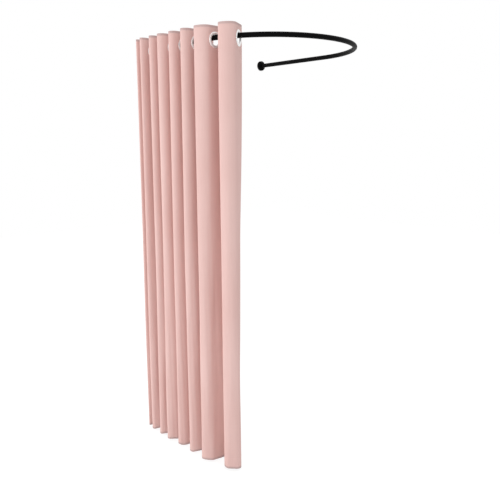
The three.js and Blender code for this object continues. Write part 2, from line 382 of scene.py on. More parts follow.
# %% [markdown]
# ## Blush cloth
#
# A heavy plain weave with a slight nap. Its pattern must follow the cloth, so it reads
# the piece's own UV map, which holds metres along the curtain's width and metres of
# height. Warp and weft are two rows of half-round threads; at each crossing the one on
# top wins. Slubs make single threads a touch lighter or darker, and the outer few
# millimetres of the top and bottom edges carry an uneven grey band of painted shade.

# %% Blush cloth
THREAD_PITCH = 0.75 * MM
WEAVE_DEPTH = 0.25 * MM
# How far the band of painted shade reaches in from the cloth's top and bottom edges.
EDGE_SHADE_BAND = 13 * MM
CLOTH_LIGHT = (0.82, 0.57, 0.533, 1.0)
CLOTH_DEEP = (0.76, 0.50, 0.463, 1.0)
# The grey of the painted shade along the top and bottom edges.
CLOTH_EDGE_SHADE = (0.50, 0.37, 0.36, 1.0)
SHEEN_TINT = (1.0, 0.97, 0.95, 1.0)
THREAD_LIGHT = (0.74, 0.43, 0.40, 1.0)
THREAD_DEEP = (0.60, 0.33, 0.31, 1.0)
CLOTH_UV = "cloth"
cloth_top = max(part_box("curtain_fold_1")[1].z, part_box("curtain_fold_8")[1].z)
cloth_bottom = min(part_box("curtain_fold_1")[0].z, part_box("curtain_fold_8")[0].z)


def blush_cloth():
    material, shader, place = new_finish("blush_cloth")
    flat = place.make("ShaderNodeUVMap", uv_map=CLOTH_UV)
    across = flat.make("ShaderNodeSeparateXYZ", {0: flat}, "X")
    up = across.beside("Y")
    counts = [way / THREAD_PITCH for way in (across, up)]
    warp, weft = [one.maths("ABSOLUTE", one.maths("SINE", one * math.pi)) for one in counts]
    crossing = counts[0].maths("FLOOR", counts[0]) + counts[1].maths("FLOOR", counts[1])
    over = crossing.maths("FLOORED_MODULO", crossing, 2.0)
    weave = warp * over + weft * (1 - over)
    slubs = noise(stretched(flat, (420.0, 9.0, 1.0)), 1.0, 3.0)
    picks = noise(stretched(flat, (7.0, 520.0, 1.0)), 1.0, 3.0)
    clouds = noise(stretched(flat, (5.0, 2.2, 1.0)), 1.0, 2.0)
    tone = (slubs * 0.3 + picks * 0.16 + clouds * 0.7).between(0.34, 0.86)
    # Painted shade: a grey band along the top and bottom edges, uneven along them.
    near_top = up.between(cloth_top - EDGE_SHADE_BAND, cloth_top - EDGE_SHADE_BAND / 3)
    near_bottom = 1 - up.between(cloth_bottom + EDGE_SHADE_BAND / 3, cloth_bottom + EDGE_SHADE_BAND)
    edge_shade = (near_top + near_bottom) * (0.4 + clouds * 0.6)
    colour = colour_mix(tone, CLOTH_LIGHT, CLOTH_DEEP)
    feed(
        shader,
        Base_Color=colour_mix(edge_shade, colour, CLOTH_EDGE_SHADE),
        Roughness=0.78 + slubs * 0.15,
        Normal=bump(weave + slubs * 0.45, 0.3, WEAVE_DEPTH),
        Specular_IOR_Level=0.15,
        Sheen_Weight=0.04,
        Sheen_Roughness=0.4,
        Sheen_Tint=SHEEN_TINT,
    )
    return material


def blush_thread():
    """The sewing thread is a shade deeper than the cloth and shinier."""
    material, shader, place = new_finish("blush_thread")
    twist = noise(place, 2600.0)
    feed(
        shader,
        Base_Color=colour_mix(twist, THREAD_LIGHT, THREAD_DEEP),
        Roughness=0.42 + twist * 0.2,
        Normal=bump(twist, 0.4, 0.1 * MM),
    )
    return material


finishes = {
    "black": black_powder_coat(),
    "nickel": bright_nickel(),
    "zinc": dull_zinc(),
    "cloth": blush_cloth(),
    "thread": blush_thread(),
}
print("finishes:", ", ".join(material.name for material in finishes.values()))

# %% [markdown]
# ## Helpers for meshes and for Geometry Nodes
#
# Every piece ends as a plain mesh at the origin. `baked` turns an object with
# modifiers into one, and `grow` runs a Geometry Nodes tree on a small starting mesh:
# it sets the tree's inputs by their identifiers, takes the result as a plain mesh and
# takes the modifier away again.


# %% Helpers for meshes and for Geometry Nodes
def mesh_of(name, points, edges=(), faces=()):
    mesh = bpy.data.meshes.new(name)
    mesh.from_pydata(points, edges, faces)
    return mesh


def add_object(name, mesh):
    piece = bpy.data.objects.new(name, mesh)
    bpy.context.scene.collection.objects.link(piece)
    return piece


def baked(piece):
    """The same object with its modifiers turned into a plain mesh."""
    graph = bpy.context.evaluated_depsgraph_get()
    mesh = bpy.data.meshes.new_from_object(piece.evaluated_get(graph), depsgraph=graph)
    piece.modifiers.clear()
    piece.data = mesh
    return piece


HAIR = 0.01 * MM
QUARTER_TURN = Matrix.Rotation(math.radians(90), 4, "X")
SOFT_ANGLE = 35
BEVEL_ANGLE = 30
BEVEL_SEGMENTS = 3


def reworked(piece, change):
    """The piece after a change to its mesh, which is handed over as a bmesh."""
    work = bmesh.new()
    work.from_mesh(piece.data)
    change(work)
    work.to_mesh(piece.data)
    work.free()
    return piece


def tidy(piece):
    """Merges doubles and turns every face outwards."""
    def change(work):
        bmesh.ops.remove_doubles(work, verts=work.verts, dist=HAIR)
        bmesh.ops.recalc_face_normals(work, faces=work.faces)
    return reworked(piece, change)


def smooth(piece, angle=SOFT_ANGLE):
    """Smooth shading that breaks at edges sharper than the angle, in degrees."""
    piece.data.shade_smooth()
    piece.data.set_sharp_from_angle(angle=math.radians(angle))
    return piece


def painted(piece, finish):
    piece.data.materials.clear()
    piece.data.materials.append(finishes[finish])
    return piece


def given(piece, body, slot, *nodes):
    """Ties a piece to its body, in place of the nodes that it stands for; slot is not used."""
    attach(piece, body)
    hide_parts(*nodes)


def new_tree(name, inputs):
    """A Geometry Nodes tree with named inputs. Returns it and the wires of its inputs."""
    tree = bpy.data.node_groups.new(name, "GeometryNodeTree")
    sockets = [("Geometry", "OUTPUT", "Geometry"), ("Geometry", "INPUT", "Geometry")]
    sockets += [(label, "INPUT", kind) for label, kind in inputs.items()]
    for label, way, kind in sockets:
        tree.interface.new_socket(label, in_out=way, socket_type=f"NodeSocket{kind}")
    entry = tree.nodes.new("NodeGroupInput")
    return tree, {socket.name: Wire(socket) for socket in entry.outputs if socket.name}


def end_tree(tree, geometry, material):
    """Realizes what the tree made, gives it its material and ends the tree."""
    real = geometry.make("GeometryNodeRealizeInstances", {0: geometry})
    finished = real.make("GeometryNodeSetMaterial", {"Geometry": real, "Material": material})
    out = tree.nodes.new("NodeGroupOutput")
    tree.links.new(finished.socket, out.inputs[0])


def grow(name, tree, start, values):
    """Runs a tree on a starting mesh, as a new object with a plain mesh."""
    piece = add_object(name, start)
    modifier = piece.modifiers.new("grow", "NODES")
    modifier.node_group = tree
    for item in tree.interface.items_tree:
        if item.in_out == "INPUT" and item.name in values:
            modifier[item.identifier] = values[item.name]
    return baked(piece)


def line_mesh(name, lines):
    """A mesh of open lines, each a list of points."""
    points, edges = [], []
    for line in lines:
        first = len(points)
        points += [tuple(point) for point in line]
        edges += [(first + step, first + step + 1) for step in range(len(line) - 1)]
    return mesh_of(name, points, edges)


def turned(name, profile, sides, placing=Matrix()):
    """A closed profile of radius and height, turned about the Z axis and set in its place."""
    angles = np.linspace(0, 2 * math.pi, sides, endpoint=False)
    points = [(r * math.cos(a), r * math.sin(a), h) for a in angles for r, h in profile]
    count = len(profile)
    faces = []
    for side in range(sides):
        here, there = side * count, (side + 1) % sides * count
        for step in range(count):
            after = (step + 1) % count
            faces.append((here + step, there + step, there + after, here + after))
    piece = tidy(add_object(name, mesh_of(name, points, faces=faces)))
    piece.data.transform(placing)
    return piece


def softened(piece, width):
    """Rounds the sharp edges of a piece."""
    bevel = piece.modifiers.new("soft_edges", "BEVEL")
    bevel.width, bevel.segments = width, BEVEL_SEGMENTS
    bevel.limit_method, bevel.angle_limit = "ANGLE", math.radians(BEVEL_ANGLE)
    return baked(piece)


def drilled(piece, cutters):
    """Takes every cutter out of the piece and deletes the cutters."""
    for cutter in cutters:
        cut = piece.modifiers.new("hole", "BOOLEAN")
        cut.operation, cut.solver, cut.object = "DIFFERENCE", "EXACT", cutter
    baked(piece)
    for cutter in cutters:
        bpy.data.objects.remove(cutter)
    return tidy(piece)


# %% [markdown]
# ## Read the frame's sizes
#
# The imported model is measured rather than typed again. The bend tube's box gives the
# tube's radius, the bend's radius and the arms' length; the rings give each eyelet's
# middle, and which way it faces. The cloth crosses the rail outwards at the first
# eyelet of each pair and inwards at the second.


# %% Read the frame's sizes
def corners_of(node):
    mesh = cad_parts[node].data
    points = np.zeros(len(mesh.vertices) * 3, np.float32)
    mesh.vertices.foreach_get("co", points)
    return points.reshape(-1, 3).astype(float)


bend_low, bend_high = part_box("bend_tube")
tube_radius = (bend_high.z - bend_low.z) / 2
bend_radius = round((bend_high.x - bend_low.x) / 2 - tube_radius, 3)
arm_length = round(-bend_low.y - bend_radius - tube_radius, 3)
left_arm_x = -2 * bend_radius
print(f"tube radius {tube_radius:.4f}, bend radius {bend_radius:.4f}, arm {arm_length:.4f}")


@dataclass
class Eyelet:
    """Where the cloth crosses the rail, which way it runs, and where the front ring faces."""

    middle: np.ndarray
    direction: np.ndarray
    height: float
    face: np.ndarray


def across(vector):
    """The vector turned a quarter to the left, seen from above: the cloth's outer side."""
    return np.array([-vector[1], vector[0]])


def unit(vector):
    return vector / np.linalg.norm(vector)


def length_of(points):
    return float(np.linalg.norm(np.diff(points, axis=0), axis=1).sum())


def read_eyelets(count):
    fronts = [corners_of(f"eyelet_front_ring_{number + 1}") for number in range(count)]
    backs = [corners_of(f"eyelet_back_ring_{number + 1}") for number in range(count)]
    rough = [ring.mean(axis=0)[:2] for ring in fronts]
    eyelets = []
    for index, (front, back) in enumerate(zip(fronts, backs)):
        centre = front.mean(axis=0)
        axis = np.linalg.svd(front - centre, full_matrices=False)[2][2]
        axis = axis * np.sign((centre - back.mean(axis=0)) @ axis)
        level = ((front @ axis).max() + (back @ axis).min()) / 2
        middle = centre + axis * (level - centre @ axis)
        along = rough[min(index + 1, count - 1)] - rough[max(index - 1, 0)]
        way = 1 if index % 2 == 0 else -1
        direction = unit(np.array([axis[1], -axis[0]]))
        direction = direction * np.sign(direction @ across(along)) * way
        eyelets.append(Eyelet(middle[:2], direction, middle[2], unit(axis[:2])))
    return eyelets


EYELET_COUNT = 16
eyelets = read_eyelets(EYELET_COUNT)
fold_count = len(eyelets) // 2
print("eyelets:", len(eyelets), "in", fold_count, "folds")

# %% [markdown]
# ## The rail
#
# Three tubes swept along the rail's axis. A tube is one rule, a circle carried along a
# line, so Geometry Nodes make it: the line comes in as a bare mesh, and the radius and
# the number of sides are named inputs. Solidify gives the wall, and each grub screw's
# hole is drilled through the underside.

# %% The rail
TUBE_WALL = 1.5 * MM
TUBE_SIDES = 64
BEND_STUB = 60 * MM
BEND_STEPS = 110
SEAT_GAP = 0.3 * MM
PLATE_THICKNESS = 4 * MM
GRUB_HOLE_RADIUS = 2.3 * MM
PLATE_GRUB_PLACE = 24 * MM
SLEEVE_GRUB_PLACE = 22 * MM
HOLE_SIDES = 40
ARM_X = {"right": 0.0, "left": left_arm_x}


def tube_tree():
    inputs = {"Radius": "Float", "Sides": "Int", "Material": "Material"}
    tree, wires = new_tree("swept_tube", inputs)
    line = wires["Geometry"].make("GeometryNodeMeshToCurve", {0: wires["Geometry"]})
    values = {"Resolution": wires["Sides"], "Radius": wires["Radius"]}
    ring = line.make("GeometryNodeCurvePrimitiveCircle", values)
    skin = line.make("GeometryNodeCurveToMesh", {0: line, 1: ring})
    end_tree(tree, skin, wires["Material"])
    return tree


def bend_line():
    """The bend's axis: a short straight end, half a circle, a short straight end."""
    turns = np.linspace(0, math.pi, BEND_STEPS)
    middle = np.array((-bend_radius, -arm_length, 0))
    arc = [middle + bend_radius * np.array((math.cos(t), -math.sin(t), 0)) for t in turns]
    near = -arm_length + BEND_STUB
    return [(0, near, 0), *arc, (left_arm_x, near, 0)]


def grub_cutter(low, high, placing):
    """A cutter for one grub screw's hole, from one height to another, set in its place."""
    profile = [(0, low), (GRUB_HOLE_RADIUS, low), (GRUB_HOLE_RADIUS, high), (0, high)]
    return turned("grub_hole", profile, HOLE_SIDES, placing)


def grub_drill(x, y):
    """A cutter from under the tube into its bore."""
    low, high = -tube_radius - TUBE_WALL, -tube_radius + 2 * TUBE_WALL
    return grub_cutter(low, high, Matrix.Translation((x, y, 0)))


def add_tube(name, node, tree, line, drills):
    tube = grow(name, tree, line_mesh(name, [line]), {
        "Radius": tube_radius, "Sides": TUBE_SIDES, "Material": finishes["black"],
    })
    tidy(tube)
    wall = tube.modifiers.new("wall", "SOLIDIFY")
    wall.thickness, wall.offset = TUBE_WALL, -1
    baked(tube)
    drilled(tube, drills)
    smooth(painted(tube, "black"))
    given(tube, "rail", "black_paint", node)
    print(f"{name}: {length_of(np.array(line, float)):.3f} m of tube, {len(drills)} holes")


def add_rail():
    tree = tube_tree()
    joint = -arm_length + BEND_STUB
    add_tube("rail_bend", "bend_tube", tree, bend_line(), [
        grub_drill(x, joint - SLEEVE_GRUB_PLACE) for x in ARM_X.values()
    ])
    for side, x in ARM_X.items():
        ends = [(x, -PLATE_THICKNESS - SEAT_GAP, 0), (x, joint + SEAT_GAP, 0)]
        drills = [grub_drill(x, -PLATE_GRUB_PLACE), grub_drill(x, joint + SLEEVE_GRUB_PLACE)]
        add_tube(f"rail_{side}_arm", f"{side}_arm_tube", tree, ends, drills)


add_rail()

# %% [markdown]
# ## Wall plates
#
# Each end of the rail sits on the spigot of a round plate that is screwed to the wall.
# It is turned on a lathe in real life, so it is made as one profile turned about an
# axis, then drilled and countersunk like the real one.

# %% Wall plates
PLATE_RADIUS = 25 * MM
PLATE_EDGE = 0.8 * MM
SPIGOT_LENGTH = 34 * MM
WALL_HOLE_RADIUS = 2.4 * MM
WALL_HOLE_SINK_RADIUS = 4.6 * MM
WALL_HOLE_PLACE = 17.2 * MM
GRUB_BITE = 3.4 * MM
ROUND_SIDES = 96

spigot_radius = tube_radius - TUBE_WALL - SEAT_GAP
print(f"spigot: {2 * spigot_radius / MM:.1f} mm across")


def fix_to_wall(piece, side, node):
    """Turns a lathe piece from lying at the origin to facing the room, and finishes it."""
    piece.data.transform(Matrix.Translation((ARM_X[side], 0, 0)) @ QUARTER_TURN)
    smooth(painted(piece, "black"))
    given(piece, "rail", "black_paint", node)
    print(f"{piece.name}: {len(piece.data.polygons)} faces")


def countersink(height):
    deep = PLATE_THICKNESS + PLATE_EDGE
    sink_floor = PLATE_THICKNESS - (WALL_HOLE_SINK_RADIUS - WALL_HOLE_RADIUS)
    profile = [
        (0, -PLATE_EDGE),
        (WALL_HOLE_RADIUS, -PLATE_EDGE),
        (WALL_HOLE_RADIUS, sink_floor),
        (WALL_HOLE_SINK_RADIUS, PLATE_THICKNESS),
        (WALL_HOLE_SINK_RADIUS, deep),
        (0, deep),
    ]
    return turned("countersink", profile, HOLE_SIDES, Matrix.Translation((0, height, 0)))


def blind_grub_hole():
    """The hole in the spigot that the grub screw bites into, drilled from the side."""
    placing = Matrix.Translation((0, 0, PLATE_GRUB_PLACE)) @ QUARTER_TURN
    return grub_cutter(spigot_radius - GRUB_BITE, tube_radius, placing)


def add_wall_plate(side):
    plate = turned(f"wall_plate_{side}_metal", [
        (0, 0),
        (PLATE_RADIUS, 0),
        (PLATE_RADIUS, PLATE_THICKNESS - PLATE_EDGE),
        (PLATE_RADIUS - PLATE_EDGE, PLATE_THICKNESS),
        (spigot_radius, PLATE_THICKNESS),
        (spigot_radius, SPIGOT_LENGTH - PLATE_EDGE),
        (spigot_radius - PLATE_EDGE, SPIGOT_LENGTH),
        (0, SPIGOT_LENGTH),
    ], ROUND_SIDES)
    holes = [countersink(place) for place in (-WALL_HOLE_PLACE, WALL_HOLE_PLACE)]
    drilled(plate, [*holes, blind_grub_hole()])
    fix_to_wall(plate, side, f"wall_plate_{side}")


# %% [markdown]
# ## Covers over the plates
#
# A domed cover slides along the tube and over the plate to hide the screws. It is spun
# from thin sheet, so its inner face follows the outer one at the sheet's thickness.
# Each side gets its plate and its cover here. The hidden sleeves and screws keep the
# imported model's shapes and only get their finish.

# %% Covers
COVER_WALL = 1.6 * MM
COVER_DEPTH = 17 * MM
COVER_RIM_HEIGHT = 10 * MM
COVER_LIP_HEIGHT = 1.2 * MM
COVER_ROUNDING = 0.25 * MM
DOME_STEPS = 14


def curve_points(corners, steps):
    """Points along a smooth curve from the first corner to the last, drawn by all four."""
    t = np.linspace(0, 1, steps + 1)[:, None]
    a, b, c, d = (np.asarray(corner, float) for corner in corners)
    return (1 - t) ** 3 * a + 3 * (1 - t) ** 2 * t * b + 3 * (1 - t) * t ** 2 * c + t ** 3 * d


def add_cover(side):
    inner = PLATE_RADIUS + SEAT_GAP
    outer = inner + COVER_WALL
    lip = tube_radius + SEAT_GAP
    lip_edge = lip + COVER_WALL
    top = COVER_DEPTH - COVER_LIP_HEIGHT
    shoulder = (COVER_RIM_HEIGHT + COVER_DEPTH) / 2
    dome = curve_points([
        (outer, COVER_RIM_HEIGHT), (outer, shoulder),
        ((outer + lip_edge) / 2, top), (lip_edge, top),
    ], DOME_STEPS)
    under = curve_points([
        (lip, top - COVER_WALL), ((inner + lip) / 2, top - COVER_WALL),
        (inner, shoulder - COVER_WALL), (inner, COVER_RIM_HEIGHT),
    ], DOME_STEPS)
    rim, mouth = [(inner, 0), (outer, 0)], [(lip_edge, COVER_DEPTH), (lip, COVER_DEPTH)]
    profile = [*rim, *map(tuple, dome), *mouth, *map(tuple, under)]
    cover = softened(turned(f"plate_cover_{side}_dome", profile, ROUND_SIDES), COVER_ROUNDING)
    fix_to_wall(cover, side, f"plate_cover_{side}")


for side in ARM_X:
    add_wall_plate(side)
    add_cover(side)
    for node in (f"{side}_joining_sleeve", f"plate_grub_screw_{side}",
                 f"{side}_sleeve_grub_screw_arm", f"{side}_sleeve_grub_screw_bend"):
        painted(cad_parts[node], "zinc")

# %% [markdown]
# ## Eyelets
#
# An eyelet is two rings: the front one has a barrel that goes through the cloth, and
# the back one clips over it. Each is one turned profile with a crowned face and
# rounded rims. Copies are set on the eyelets' middles by a Geometry Nodes tree, which
# reads each copy's turn from an attribute, and each fold gets its own two pairs.

# %% Eyelets
EYELET_BORE = 22 * MM
EYELET_RADIUS = 34 * MM
BARREL_WALL = 1.7 * MM
RING_THICKNESS = 3.6 * MM
RING_EDGE_HEIGHT = 1.5 * MM
BARREL_REACH = 1.5 * MM
CLOTH_THICKNESS = 2 * MM
CLOTH_FACE = CLOTH_THICKNESS / 2 + SEAT_GAP
RING_ROUNDING = 0.45 * MM
CROWN_STEPS = 10
RING_SIDES = 72
RING_SMOOTH_ANGLE = 60
TURN = "turn"


def crown(inner, outer, base, edge):
    """The arched face of a ring, from its outer rim to its inner one."""
    middle, half = (inner + outer) / 2, (outer - inner) / 2
    radii = np.linspace(outer, inner, CROWN_STEPS + 1)
    rise = RING_THICKNESS - edge
    return [(r, base + edge + rise * (1 - ((r - middle) / half) ** 2)) for r in radii]


def front_ring():
    barrel = EYELET_BORE + BARREL_WALL
    profile = [
        (EYELET_BORE, -CLOTH_FACE - BARREL_REACH),
        (barrel, -CLOTH_FACE - BARREL_REACH),
        (barrel, CLOTH_FACE),
        (EYELET_RADIUS, CLOTH_FACE),
        *crown(EYELET_BORE, EYELET_RADIUS, CLOTH_FACE, RING_EDGE_HEIGHT),
    ]
    return turned("front_ring", profile, RING_SIDES)


def back_ring():
    inner = EYELET_BORE + BARREL_WALL + SEAT_GAP
    face = crown(inner, EYELET_RADIUS, CLOTH_FACE, RING_EDGE_HEIGHT)
    profile = [(inner, -CLOTH_FACE), (EYELET_RADIUS, -CLOTH_FACE), *[(r, -h) for r, h in face]]
    return turned("back_ring", profile, RING_SIDES)


def copies_tree():
    """Sets a copy of one object on every point, turned about Z by the point's own turn."""
    tree, wires = new_tree("set_copies", {"Copy": "Object", "Material": "Material"})
    points, kind = wires["Geometry"], "GeometryNodeInputNamedAttribute"
    source = points.make("GeometryNodeObjectInfo", {"Object": wires["Copy"]}, "Geometry")
    turn = points.make(kind, {"Name": TURN}, "Attribute", data_type="FLOAT")
    angles = turn.make("ShaderNodeCombineXYZ", {"Z": turn})
    values = {"Points": points, "Instance": source, "Rotation": angles}
    set_down = points.make("GeometryNodeInstanceOnPoints", values)
    end_tree(tree, set_down, wires["Material"])
    return tree


def eyelet_points(name, pair):
    """A mesh of one point for each eyelet, with its turn."""
    mesh = mesh_of(name, [(*eyelet.middle, eyelet.height) for eyelet in pair])
    turns = [math.atan2(eyelet.face[1], eyelet.face[0]) - math.pi / 2 for eyelet in pair]
    mesh.attributes.new(TURN, "FLOAT", "POINT").data.foreach_set("value", turns)
    return mesh


def add_eyelets():
    tree = copies_tree()
    lie_along_y = Matrix.Rotation(math.radians(-90), 4, "X")
    for side, make_ring in (("front", front_ring), ("back", back_ring)):
        ring = softened(make_ring(), RING_ROUNDING)
        ring.data.transform(lie_along_y)
        smooth(ring, RING_SMOOTH_ANGLE)
        for fold in range(fold_count):
            name = f"fold_{fold + 1}_{side}_rings"
            rings = grow(name, tree, eyelet_points(name, eyelets[2 * fold:2 * fold + 2]), {
                "Copy": ring, "Material": finishes["nickel"],
            })
            nodes = [f"eyelet_{side}_ring_{2 * fold + nth}" for nth in (1, 2)]
            given(rings, f"fold_{fold + 1}", "silver_ring", *nodes)
        print(f"{side} rings: {len(ring.data.polygons)} faces each")
        bpy.data.objects.remove(ring)


add_eyelets()

# %% [markdown]
# ## The curtain's line in the heading
#
# Seen from above the curtain is one long wave. In the stiff heading the cloth stays
# flat round each eyelet and turns back between them, as deep as its length allows. Each
# part of the line runs from one eyelet to the next, and the first and last parts end at
# the side hems.

# %% The heading's line
CLOTH_BETWEEN_EYELETS = 156 * MM
HALF_FLAT = 36 * MM
DEPTH_LIMIT_SHARE = 3
HEM_LENGTH = 40 * MM
HEM_CURL = 20 * MM
RIDGE_DRIFTS = [11 * MM, 12 * MM, 4 * MM, 2 * MM, 6 * MM, 0, 0, 0]
LINE_STEPS = 72


def ridge_drift(index):
    """How far the turn after an eyelet strays, outwards and to the wall."""
    run = unit(eyelets[index + 1].middle - eyelets[index].middle)
    return (RIDGE_DRIFTS[index // 2] if index % 2 == 0 else 0.0) * (run + across(run))


def turn_line(first, second, half_flat, handle, drift):
    """From one eyelet to the next: out along the flat cloth, round the turn and back."""
    leave = first.middle + first.direction * half_flat
    arrive = second.middle - second.direction * half_flat
    round_first = leave + first.direction * handle + drift
    round_second = arrive - second.direction * handle + drift
    bow = curve_points([leave, round_first, round_second, arrive], LINE_STEPS)
    return np.vstack([first.middle, bow, second.middle])


def heading_turn(index):
    """The stiff heading's turn, as deep as the spare cloth between two eyelets allows."""
    first, second = eyelets[index:index + 2]
    leave = first.middle + first.direction * HALF_FLAT
    arrive = second.middle - second.direction * HALF_FLAT
    half_width = np.linalg.norm(leave - arrive) / 2
    spare_radius = (CLOTH_BETWEEN_EYELETS - 2 * HALF_FLAT) / math.pi
    round_depth = math.sqrt(max(2 * spare_radius ** 2 - half_width ** 2, 0))
    depth = min(max(round_depth, half_width / 2), DEPTH_LIMIT_SHARE * half_width)
    return turn_line(first, second, HALF_FLAT, depth * 4 / 3, ridge_drift(index))


def hem_line(eyelet, neighbour, way, curl):
    """From an end eyelet to the curtain's edge, which curls a little towards the neighbour."""
    leave = eyelet.middle + eyelet.direction * way * HALF_FLAT
    curl = unit(neighbour.middle - eyelet.middle) * curl
    bow = leave + eyelet.direction * way * HEM_LENGTH / 2
    tip = leave + eyelet.direction * way * HEM_LENGTH + curl
    t = np.linspace(0, 1, LINE_STEPS)[:, None]
    bent = (1 - t) ** 2 * leave + 2 * (1 - t) * t * bow + t ** 2 * tip
    return np.vstack([eyelet.middle, bent])


def with_hems(points, turns, curl):
    """A line's turns, with the curtain's leading edge before them and its last edge after."""
    lead = hem_line(points[0], points[1], -1, curl)[::-1]
    return [lead, *turns, hem_line(points[-1], points[-2], 1, curl)]


stiff_turns = [heading_turn(index) for index in range(len(eyelets) - 1)]
stiff_parts = with_hems(eyelets, stiff_turns, HEM_CURL)
stiff_lengths = [length_of(part) for part in stiff_parts]
print("cloth in each part, m:", [round(length, 3) for length in stiff_lengths])

# %% [markdown]
# ## The curtain's line lower down
#
# Lower down the cloth relaxes: the flat stretches bow, and the cloth crosses under the
# rail at a slant, with as much cloth between two eyelets as before. The turn's depth
# is found by halving: deeper holds more cloth, shallower holds less.

# %% The relaxed line
RELAXED_SHARE = 0.6
RELAXED_HALF_FLAT = 25 * MM
RELAXED_LEAN_SHARE = 0.3
RELAXED_SLANT = 16 * MM
RELAXED_SHIFT = 8 * MM
RELAXED_DEPTH = 57 * MM
RELAXED_CURL = 32 * MM
RELAXED_EDGE_TURN = math.radians(40)
WALL_EDGE_TURN = math.radians(-17)
RELAXED_EDGE_SHIFT = 5 * MM
HALVINGS = 30


def turned_by(vector, angle):
    """The vector turned to the left by an angle."""
    return vector * math.cos(angle) + across(vector) * math.sin(angle)


def relaxed(index):
    """The eyelet as the cloth crosses under it lower down, at a slant that leaves room."""
    here = eyelets[index]
    if index == 0:
        tuck = unit(eyelets[1].middle - here.middle) * RELAXED_EDGE_SHIFT
        lean = turned_by(here.direction, RELAXED_EDGE_TURN)
        return replace(here, middle=here.middle + tuck, direction=lean)
    if index == len(eyelets) - 1:
        return replace(here, direction=turned_by(here.direction, WALL_EDGE_TURN))
    before, after = (eyelets[other].middle for other in (index - 1, index + 1))
    gap = min(np.linalg.norm(other - here.middle) for other in (before, after))
    along = unit(after - before)
    out = across(along) * np.sign(across(along) @ here.direction)
    slant = RELAXED_LEAN_SHARE * gap + RELAXED_SLANT * (1 if index % 2 == 0 else -1)
    middle = here.middle - across(along) * RELAXED_SHIFT
    return replace(here, middle=middle, direction=unit(out * RELAXED_DEPTH + along * slant))


def relaxed_turn(soft, index, length):
    """The soft turn lower down, which holds the same length of cloth."""
    low, high = 0.0, 2 * length
    for _ in range(HALVINGS):
        handle = (low + high) / 2
        line = turn_line(*soft[index:index + 2], RELAXED_HALF_FLAT, handle, ridge_drift(index))
        low, high = (handle, high) if length_of(line) < length else (low, handle)
    return line


soft = [relaxed(index) for index in range(len(eyelets))]
soft_turns = [relaxed_turn(soft, index, length_of(turn)) for index, turn in enumerate(stiff_turns)]
soft_parts = with_hems(soft, soft_turns, RELAXED_CURL)
print("relaxed cloth, m:", round(sum(length_of(part) for part in soft_parts), 3))

# %% [markdown]
# ## Columns of cloth
#
# Both lines get the same columns, a few millimetres apart, so each height can take a
# blend of the two. The eyelets' columns are the ends of the parts.

# %% Columns of cloth
COLUMN_STEP = 3.9 * MM
EASING_ROUNDS = 6


def spaced(points, count):
    """count + 1 points spaced evenly along a line."""
    marks = np.concatenate([[0], np.cumsum(np.linalg.norm(np.diff(points, axis=0), axis=1))])
    places = np.linspace(0, marks[-1], count + 1)
    return np.column_stack([np.interp(places, marks, points[:, axis]) for axis in (0, 1)])


def eased(line):
    """The line with its corners rounded, where a flat stretch turns into a bend."""
    for _ in range(EASING_ROUNDS):
        line = np.vstack([line[:1], (line[:-2] + 2 * line[1:-1] + line[2:]) / 4, line[-1:]])
    return line


def by_columns(parts, counts):
    """One point for each column: every part spaced evenly, then the last part's end."""
    spans = [spaced(part, count)[:-1] for part, count in zip(parts, counts)]
    return eased(np.vstack([*spans, parts[-1][-1:]]))


counts = [round(length / COLUMN_STEP) for length in stiff_lengths]
part_marks = list(accumulate(counts, initial=0))
part_starts = list(accumulate(stiff_lengths, initial=0.0))
cloth_reach = np.interp(range(part_marks[-1] + 1), part_marks, part_starts)
stiff_line, loose_line = by_columns(stiff_parts, counts), by_columns(soft_parts, counts)
eyelet_columns = part_marks[1:-1]
cloth_width = float(cloth_reach[-1])
print(f"cloth is {cloth_width:.3f} m wide, in {len(cloth_reach) - 1} columns")

# %% [markdown]
# ## Rows and hems
#
# The rows of the cloth's grid are close together where the cloth has detail: at the
# eyelets, the seams and the steps where a hem's second layer ends. They are wider apart
# in between.

# %% Rows and hems
HEADING_DEPTH = 108 * MM
HEM_DEPTH = 62 * MM
SIDE_HEM_WIDTH = 26 * MM
SEAM_INSET = 3.5 * MM
FOLD_STEP = 0.7 * MM
ROW_STEP_FINE = 4 * MM
ROW_STEP_WIDE = 10 * MM
SEAM_ROW_GAP = 1.4 * MM

heading_seam = cloth_top - HEADING_DEPTH + SEAM_INSET
hem_seam = cloth_bottom + HEM_DEPTH - SEAM_INSET
heading_end = cloth_top - HEADING_DEPTH
hem_end = cloth_bottom + HEM_DEPTH


def evenly(start, end, step):
    """Heights from start down to, but without, end, about a step apart."""
    count = max(round((start - end) / step), 1)
    return list(np.linspace(start, end, count + 1)[:-1])


def row_heights():
    gap = SEAM_ROW_GAP
    heading = evenly(cloth_top, heading_seam + gap, ROW_STEP_FINE)
    heading += [heading_seam + gap, heading_seam, heading_seam - gap, heading_end]
    body = evenly(heading_end - FOLD_STEP, hem_end + FOLD_STEP, ROW_STEP_WIDE)
    hem = [hem_end + FOLD_STEP, hem_end, hem_seam + gap, hem_seam]
    hem += evenly(hem_seam - gap, cloth_bottom, ROW_STEP_FINE) + [cloth_bottom]
    return np.array(heading + body + hem)


rows = row_heights()
print("rows:", len(rows))

# %% [markdown]
# ## The hang of the cloth
#
# Now the cloth gets its life. Heavy curtain cloth relaxes below its stiff heading,
# drifts a little from plumb, carries long shallow flutes and fine vertical creases, and
# puckers along its seams; the hem wavers. Where eyelets stand close the folds hold each
# other, so the waves are smaller there. Every wave is a sum of sines with seeded
# phases, its widths and heights given in metres, so each run gives the same curtain.

